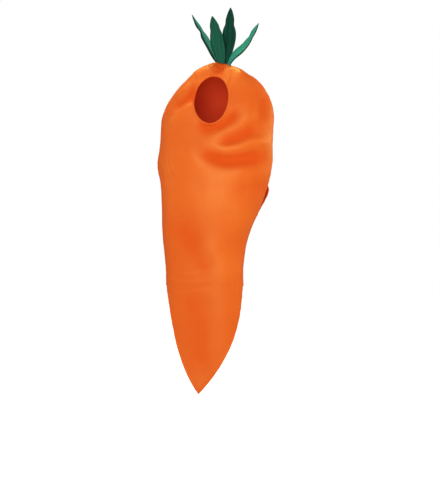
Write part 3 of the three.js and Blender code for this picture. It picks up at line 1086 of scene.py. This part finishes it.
def cloth_material(cloth, groups):
    """Knitted cloth: a dye that varies a little, painted shade and light where the cloth paints shade, a
    fine knit and a soft sheen.
    """
    material = bpy.data.materials.new(cloth.name)
    material.use_nodes = True
    tree = material.node_tree
    shader = tree.nodes["Principled BSDF"]
    mottle = add_group(tree, groups["mottle"], Slow=MOTTLE_SLOW, Fine=MOTTLE_FINE).outputs["Mottle"]
    dye = mottle
    # painted shade: the tone read from the mesh darkens hollows and shaded halves and lightens ridges and
    # lit halves, mixed with the random mottle
    if cloth.follows_folds:
        folds = tree.nodes.new("ShaderNodeAttribute")
        folds.attribute_name = PAINTED_SHADE_ATTRIBUTE
        dye = math_node(
            tree, "ADD",
            math_node(tree, "MULTIPLY", folds.outputs["Fac"], PAINTED_SHADE_SHARE),
            math_node(tree, "MULTIPLY", mottle, 1.0 - PAINTED_SHADE_SHARE),
        )
    colors = ramp(tree, dye, list(zip(SHADE_AND_DYE_STOPS, (cloth.dark, cloth.light))))
    tree.links.new(colors, shader.inputs["Base Color"])
    tones = [(at, (value, value, value)) for at, value in zip(ROUGH_STOPS, cloth.rough)]
    tree.links.new(ramp(tree, dye, tones), shader.inputs["Roughness"])
    where = tree.nodes.new("ShaderNodeTexCoord")
    knit = add_group(tree, groups["knit"], Rib=KNIT_RIB, Course=KNIT_COURSE)
    tree.links.new(where.outputs["UV" if cloth.uses_uv else "Object"], knit.inputs["Flat"])
    bump = tree.nodes.new("ShaderNodeBump")
    bump.inputs["Strength"].default_value = cloth.bump
    bump.inputs["Distance"].default_value = KNIT_DEPTH
    tree.links.new(knit.outputs["Height"], bump.inputs["Height"])
    tree.links.new(bump.outputs["Normal"], shader.inputs["Normal"])
    shader.inputs["Sheen Weight"].default_value = cloth.sheen
    shader.inputs["Sheen Roughness"].default_value = SHEEN_ROUGHNESS
    shader.inputs["Sheen Tint"].default_value = (*cloth.light, 1.0)
    shader.inputs["Specular IOR Level"].default_value = cloth.shine
    shader.inputs["Specular Tint"].default_value = (*cloth.shine_tint, 1.0)
    return material


# Stage, with the lights' places and sizes in metres
STUDIO_GLOW = (0.3, 0.17, 0.14)  # light that comes from all sides, warm from the cloth's own colour
SOFTBOX = (0.8, 1.0, 1.0)
AMBER = (0.92, 0.94, 0.42)
CROWN_GOLD = (0.68, 1.0, 0.48)
CHEST = (-0.03, 0.0, -0.5)
BODY_MIDDLE = (-0.03, 0.0, -0.6)
HIPS = (0.0, 0.0, -0.8)
CROWN = (0.0, 0.0, 0.0)
LEFT_LOBE = (-0.06, -0.05, 0.0)
Light = namedtuple("Light", "name place aim size power color")
LIGHTS = (
    Light("key_light", (0.15, -2.7, -0.1), CHEST, size=2.2, power=50.0, color=SOFTBOX),
    Light("low_light", (0.7, -2.4, -1.6), HIPS, size=1.2, power=9.0, color=SOFTBOX),
    Light("left_light", (-2.5, -0.5, 0.0), BODY_MIDDLE, size=1.4, power=12.0, color=AMBER),
    Light("right_light", (2.6, -0.2, -0.2), BODY_MIDDLE, size=1.4, power=17.0, color=AMBER),
    Light("rim_light", (2.0, 1.9, 0.2), BODY_MIDDLE, size=1.0, power=26.0, color=AMBER),
    Light("crown_light", (0.0, 0.3, 1.9), CROWN, size=0.8, power=33.0, color=CROWN_GOLD),
    Light("lobe_light", (-1.1, 0.25, 1.68), LEFT_LOBE, size=0.6, power=9.0, color=CROWN_GOLD),
    Light("back_light", (-1.2, 3.4, 0.5), BODY_MIDDLE, size=2.0, power=50.0, color=AMBER),
)


def add_light(light):
    data = bpy.data.lights.new(light.name, "AREA")
    data.shape = "DISK"
    data.size = light.size
    data.energy = light.power
    data.color = light.color
    lamp = new_object(light.name, data)
    lamp.visible_camera = False
    lamp.location = light.place
    lamp.rotation_euler = (Vector(light.place) - Vector(light.aim)).to_track_quat("Z", "Y").to_euler()


def add_camera():
    back = Vector((
        math.sin(CAMERA_TURN) * math.cos(CAMERA_RISE),
        -math.cos(CAMERA_TURN) * math.cos(CAMERA_RISE),
        math.sin(CAMERA_RISE),
    ))
    aim = Vector((
        (IMAGE_MIDDLE[0] - CROWN_PIXEL[0]) * PIXEL / math.cos(CAMERA_TURN),
        0.0,
        CLOTH - (IMAGE_MIDDLE[1] - CROWN_PIXEL[1]) * PIXEL,
    ))
    data = bpy.data.cameras.new("camera")
    data.sensor_width = SENSOR
    data.lens = SENSOR * CAMERA_DISTANCE / (PIXEL * IMAGE_HEIGHT)
    camera = new_object("camera", data)
    camera.location = (aim + back * CAMERA_DISTANCE) * MM
    camera.rotation_euler = back.to_track_quat("Z", "Y").to_euler()
    bpy.context.scene.camera = camera


def add_floor():
    turns = np.linspace(0.0, 2 * math.pi, FLOOR_SIDES, endpoint=False)
    rim = [(FLOOR_RADIUS * math.cos(t), FLOOR_RADIUS * math.sin(t), -FLOOR_LEVEL) for t in turns]
    mesh = mesh_from("floor", np.array(rim), [tuple(range(FLOOR_SIDES))], smooth=False)
    material = bpy.data.materials.new("pale_floor")
    material.use_nodes = True
    tree = material.node_tree
    shader = tree.nodes["Principled BSDF"]
    shader.inputs["Base Color"].default_value = (*FLOOR_GREY, 1.0)
    shader.inputs["Roughness"].default_value = FLOOR_ROUGHNESS
    shader.inputs["Emission Color"].default_value = (*WHITE, 1.0)
    seen = tree.nodes.new("ShaderNodeLightPath").outputs["Is Camera Ray"]
    tree.links.new(math_node(tree, "MULTIPLY", seen, FLOOR_GLOW), shader.inputs["Emission Strength"])
    mesh.materials.append(material)
    new_object("floor", mesh)


def add_studio():
    scene = bpy.context.scene
    scene.view_settings.view_transform = "Standard"
    world = bpy.data.worlds.new("white_studio")
    world.use_nodes = True
    scene.world = world
    tree = world.node_tree
    background = tree.nodes["Background"]
    seen = tree.nodes.new("ShaderNodeLightPath").outputs["Is Camera Ray"]
    tone = ramp(tree, seen, ((0.0, STUDIO_GLOW), (1.0, WHITE)))
    tree.links.new(tone, background.inputs["Color"])
    for light in LIGHTS:
        add_light(light)


# Making
add_camera()
add_studio()
add_floor()

groups = {"knit": knit_group(), "mottle": mottle_group()}
orange = cloth_material(ORANGE_CLOTH, groups)
lining = cloth_material(ORANGE_LINING, groups)
orange_thread = cloth_material(ORANGE_THREAD, groups)
green_thread = cloth_material(GREEN_THREAD, groups)

stitches = stitch_tree()
for side, name in ((FRONT, "body_front"), (BACK, "body_back")):
    edges = [panel_outline(side)]
    if side == FRONT:
        edges.append(face_outline())
    panel = make_panel(side, edges, EdgeFinder(edges))
    piece, hem_lines = dress_panel(panel, name + "_cloth", (orange, lining))
    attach(piece, "root")
    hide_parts(name)
    hem = make_stitches(name + "_hem_stitches", hem_lines, stitches, orange_thread, HEM_STITCHING)
    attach(hem, "root")

for leaf in LEAVES:
    # painted light and shade: each leaf gets its own copy of the green, lighter for a leaf that faces the
    # light and darker for one in shade
    painted_light_green = tuple(share * tone for share, tone in zip(leaf.dye, GREEN_CLOTH.light))
    green = cloth_material(GREEN_CLOTH._replace(name=leaf.name + "_green", light=painted_light_green), groups)
    piece, edge_lines = make_leaf(leaf, green)
    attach(piece, "root")
    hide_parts(leaf.name)
    edge = make_stitches(leaf.name + "_stitches", edge_lines, stitches, green_thread, LEAF_STITCHING)
    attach(edge, "root")
